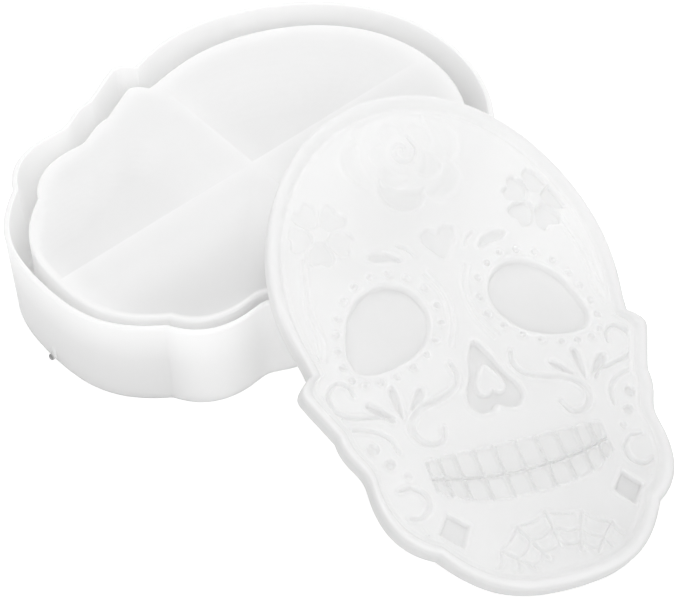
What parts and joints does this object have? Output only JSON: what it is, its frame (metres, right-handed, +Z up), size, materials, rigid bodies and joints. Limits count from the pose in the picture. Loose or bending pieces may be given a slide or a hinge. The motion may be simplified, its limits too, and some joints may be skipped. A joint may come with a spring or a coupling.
{
  "type": "skull box silicone mould",
  "caption": "Sugar-skull box casting mould: a skull-outline box mould with a hollow ribbed core, and a shallow relief lid mould leaning on its rim.",
  "frame": {"origin": "middle of the box mould's skull plan, on the surface it stands on", "axes": "+Z up; +Y towards the box mould's crown and -Y towards its chin; +X towards the side that the lid mould leans on"},
  "size_m": [0.2251, 0.1608, 0.0561],
  "materials": {
    "silicone": "satin"
  },
  "bodies": {
    "box_mould": {"box_channel_floor": "silicone", "box_outer_wall": "silicone", "box_core_wall": "silicone", "box_core_top": "silicone", "box_long_rib": "silicone", "box_cross_rib_right": "silicone", "box_cross_rib_left": "silicone"},
    "lid_mould": {"lid_floor": "silicone", "lid_rim": "silicone"}
  },
  "joints": [
    {"name": "lid_lift", "type": "slide", "parent": "box_mould", "child": "lid_mould", "axis": [0, 0, 1], "range_m": [0, 0.08]}
  ]
}
